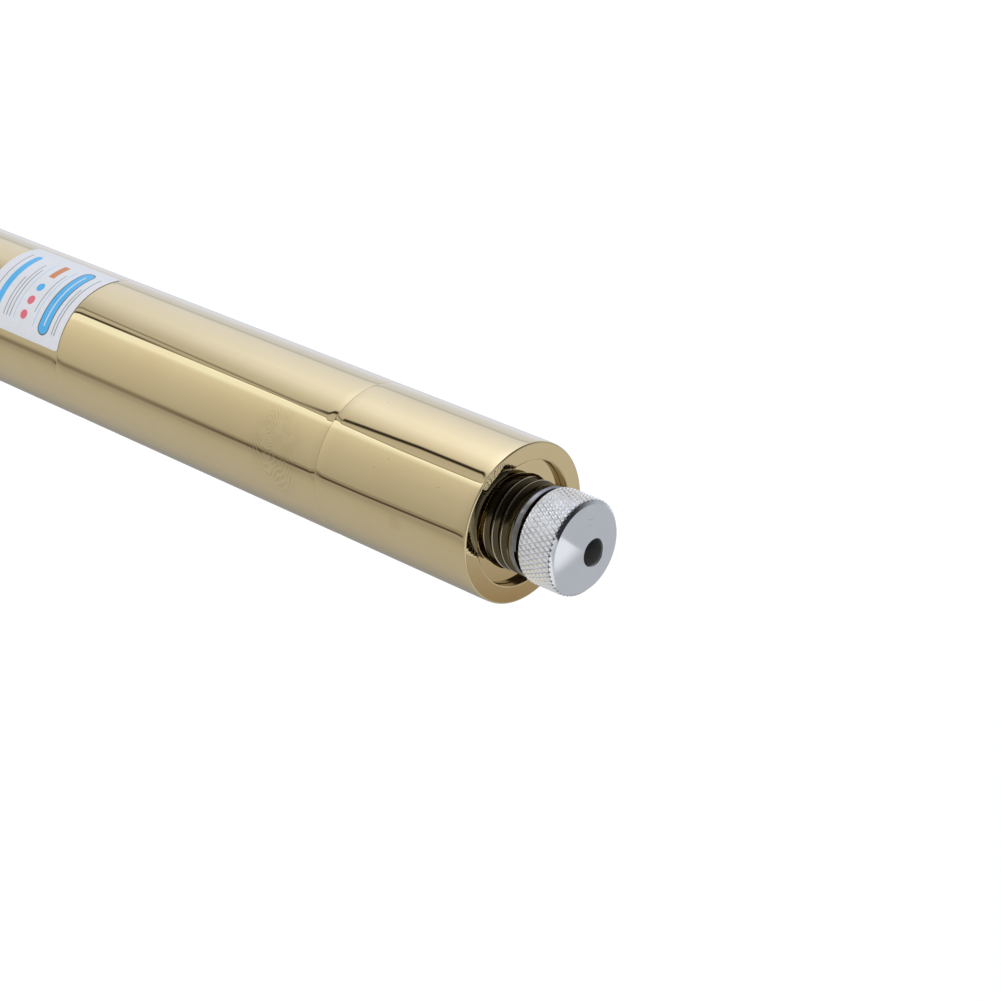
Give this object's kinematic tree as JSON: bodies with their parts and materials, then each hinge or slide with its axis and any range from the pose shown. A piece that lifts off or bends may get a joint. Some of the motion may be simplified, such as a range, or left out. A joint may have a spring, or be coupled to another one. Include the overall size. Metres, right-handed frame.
{
  "type": "laser pointer",
  "caption": "Slim round laser pointer with a gold-plated body, a screw-in knurled pattern cap at the beam end, a white label film and a push button in the tail.",
  "frame": {"origin": "centre of the flat tail face, on which the pointer stands", "axes": "+Z along the body's axis from the tail to the beam end; the label is on the -Y side and wraps towards -X"},
  "size_m": [0.024, 0.0241, 0.1999],
  "materials": {
    "gold_plate": "gold plated, mirror polished",
    "silver_plate": "bright plated, turned and knurled",
    "label_film": "gloss film",
    "optical_glass": "polished",
    "turned_brass": "turned",
    "spring_steel": "drawn wire",
    "black_rubber": "smooth",
    "black_nylon": "moulded",
    "white_nylon": "moulded",
    "circuit_board": "solder mask",
    "diode_can": "gold flashed",
    "cell_film": "shrink film"
  },
  "bodies": {
    "pointer_body": {"head_tube": "gold_plate", "front_insert": "gold_plate", "main_barrel": "gold_plate", "battery_tube": "gold_plate", "label": "label_film", "front_o_ring": "black_rubber", "tail_o_ring": "black_rubber", "driver_holder": "black_nylon", "driver_board": "circuit_board", "front_contact_spring": "spring_steel", "module_housing": "turned_brass", "module_locking_ring": "turned_brass", "diode_press_ring": "turned_brass", "laser_diode": "diode_can", "lens_spring": "spring_steel", "lens_barrel": "turned_brass", "collimating_lens": "optical_glass"},
    "cells": {"rear_cell": "cell_film", "front_cell": "cell_film"},
    "tail_cap": {"tail_cap": "gold_plate", "tail_contact_spring": "spring_steel", "switch_retaining_ring": "turned_brass", "switch_board": "circuit_board", "switch_body": "black_nylon"},
    "button": {"tail_button": "gold_plate", "switch_plunger": "white_nylon"},
    "pattern_disc": {"grating_disc": "optical_glass", "grating_retaining_ring": "turned_brass"},
    "pattern_cap": {"pattern_cap_body": "silver_plate"}
  },
  "joints": [
    {"name": "tail_cap_advance", "type": "slide", "parent": "pointer_body", "child": "cells", "axis": [0, 0, -1], "range_m": [0, 0.006]},
    {"name": "tail_cap_turn", "type": "hinge", "parent": "cells", "child": "tail_cap", "pos_m": [0, 0, 0.011], "axis": [0, 0, -1], "range_deg": [0, 1444]},
    {"name": "button_press", "type": "slide", "parent": "tail_cap", "child": "button", "axis": [0, 0, 1], "range_m": [0, 0.0012], "stiffness_N_per_m": 1500, "springref_m": -0.0002},
    {"name": "pattern_cap_advance", "type": "slide", "parent": "pointer_body", "child": "pattern_disc", "axis": [0, 0, 1], "range_m": [-0.004, 0.0032]},
    {"name": "pattern_cap_turn", "type": "hinge", "parent": "pattern_disc", "child": "pattern_cap", "pos_m": [0, 0, 0.195], "axis": [0, 0, 1], "range_deg": [-904, 724]}
  ],
  "couplings": [
    {"joint": "tail_cap_turn", "follows": "tail_cap_advance", "rad_per_m": 4188.8},
    {"joint": "pattern_cap_turn", "follows": "pattern_cap_advance", "rad_per_m": 3927}
  ]
}
